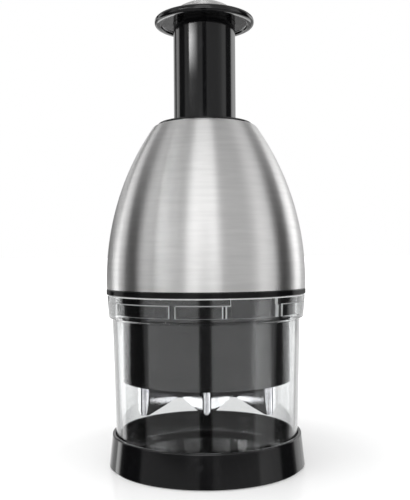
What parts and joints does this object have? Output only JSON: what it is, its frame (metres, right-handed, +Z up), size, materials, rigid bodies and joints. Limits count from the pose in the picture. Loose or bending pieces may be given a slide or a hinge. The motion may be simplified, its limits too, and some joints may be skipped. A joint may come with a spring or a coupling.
{
  "type": "vegetable chopper",
  "caption": "Push-top vegetable chopper: a round knob on a sprung stem drives a turning zigzag blade in a steel dome, over a clear cup that locks by a twist and stands on a lift-off tray.",
  "frame": {"origin": "middle of the underside, on the surface that the chopper stands on", "axes": "+Z up along the plunger, +X to the right and -Y towards the front of the picture"},
  "size_m": [0.0986, 0.0986, 0.2294],
  "materials": {
    "black_gloss": "polished",
    "inner_black": "satin",
    "brushed_shell": "brushed round the axis",
    "blade_steel": "polished with a ground edge",
    "screw_steel": "bright",
    "white_acetal": "satin",
    "clear_plastic": "clear",
    "soft_rubber": "matt"
  },
  "bodies": {
    "base": {"base_tray": "black_gloss", "foot_ring": "soft_rubber"},
    "cup": {"clear_cup": "clear_plastic"},
    "head": {"steel_shell": "brushed_shell", "inner_housing": "inner_black", "top_bush": "black_gloss", "bayonet_ring": "black_gloss", "bayonet_screws": "screw_steel", "blade_guard": "black_gloss", "stripper_ring": "screw_steel", "drive_deck": "inner_black", "deck_screws": "screw_steel", "pawl_ring": "inner_black", "drive_nut": "white_acetal", "spring_seat": "inner_black", "return_spring": "screw_steel"},
    "plunger": {"plunger_stem": "black_gloss", "stop_ring": "screw_steel", "knob": "black_gloss", "knob_screws": "screw_steel", "knob_cap": "brushed_shell"},
    "blade": {"twist_shaft": "screw_steel", "shaft_washer": "white_acetal", "shaft_clip": "screw_steel", "blade_carrier": "white_acetal", "carrier_screw": "screw_steel", "zigzag_blade": "blade_steel"},
    "stripper": {"stripper_plate": "inner_black"}
  },
  "joints": [
    {"name": "cup_lift", "type": "slide", "parent": "base", "child": "cup", "axis": [0, 0, 1], "range_m": [0, 0.04]},
    {"name": "head_twist", "type": "hinge", "parent": "cup", "child": "head", "pos_m": [0, 0, 0.08], "axis": [0, 0, 1], "range_deg": [0, 32]},
    {"name": "plunger_press", "type": "slide", "parent": "head", "child": "plunger", "axis": [0, 0, -1], "range_m": [0, 0.024], "stiffness_N_per_m": 350, "springref_m": -0.025, "deforming": ["return_spring"]},
    {"name": "blade_turn", "type": "hinge", "parent": "plunger", "child": "blade", "pos_m": [0, 0, 0.1], "axis": [0, 0, 1], "range_deg": [0, 30]},
    {"name": "stripper_turn", "type": "hinge", "parent": "head", "child": "stripper", "pos_m": [0, 0, 0.0446], "axis": [0, 0, 1], "range_deg": [0, 30]}
  ],
  "couplings": [
    {"joint": "blade_turn", "follows": "plunger_press", "rad_per_m": 21.817},
    {"joint": "stripper_turn", "follows": "plunger_press", "rad_per_m": 21.817}
  ]
}
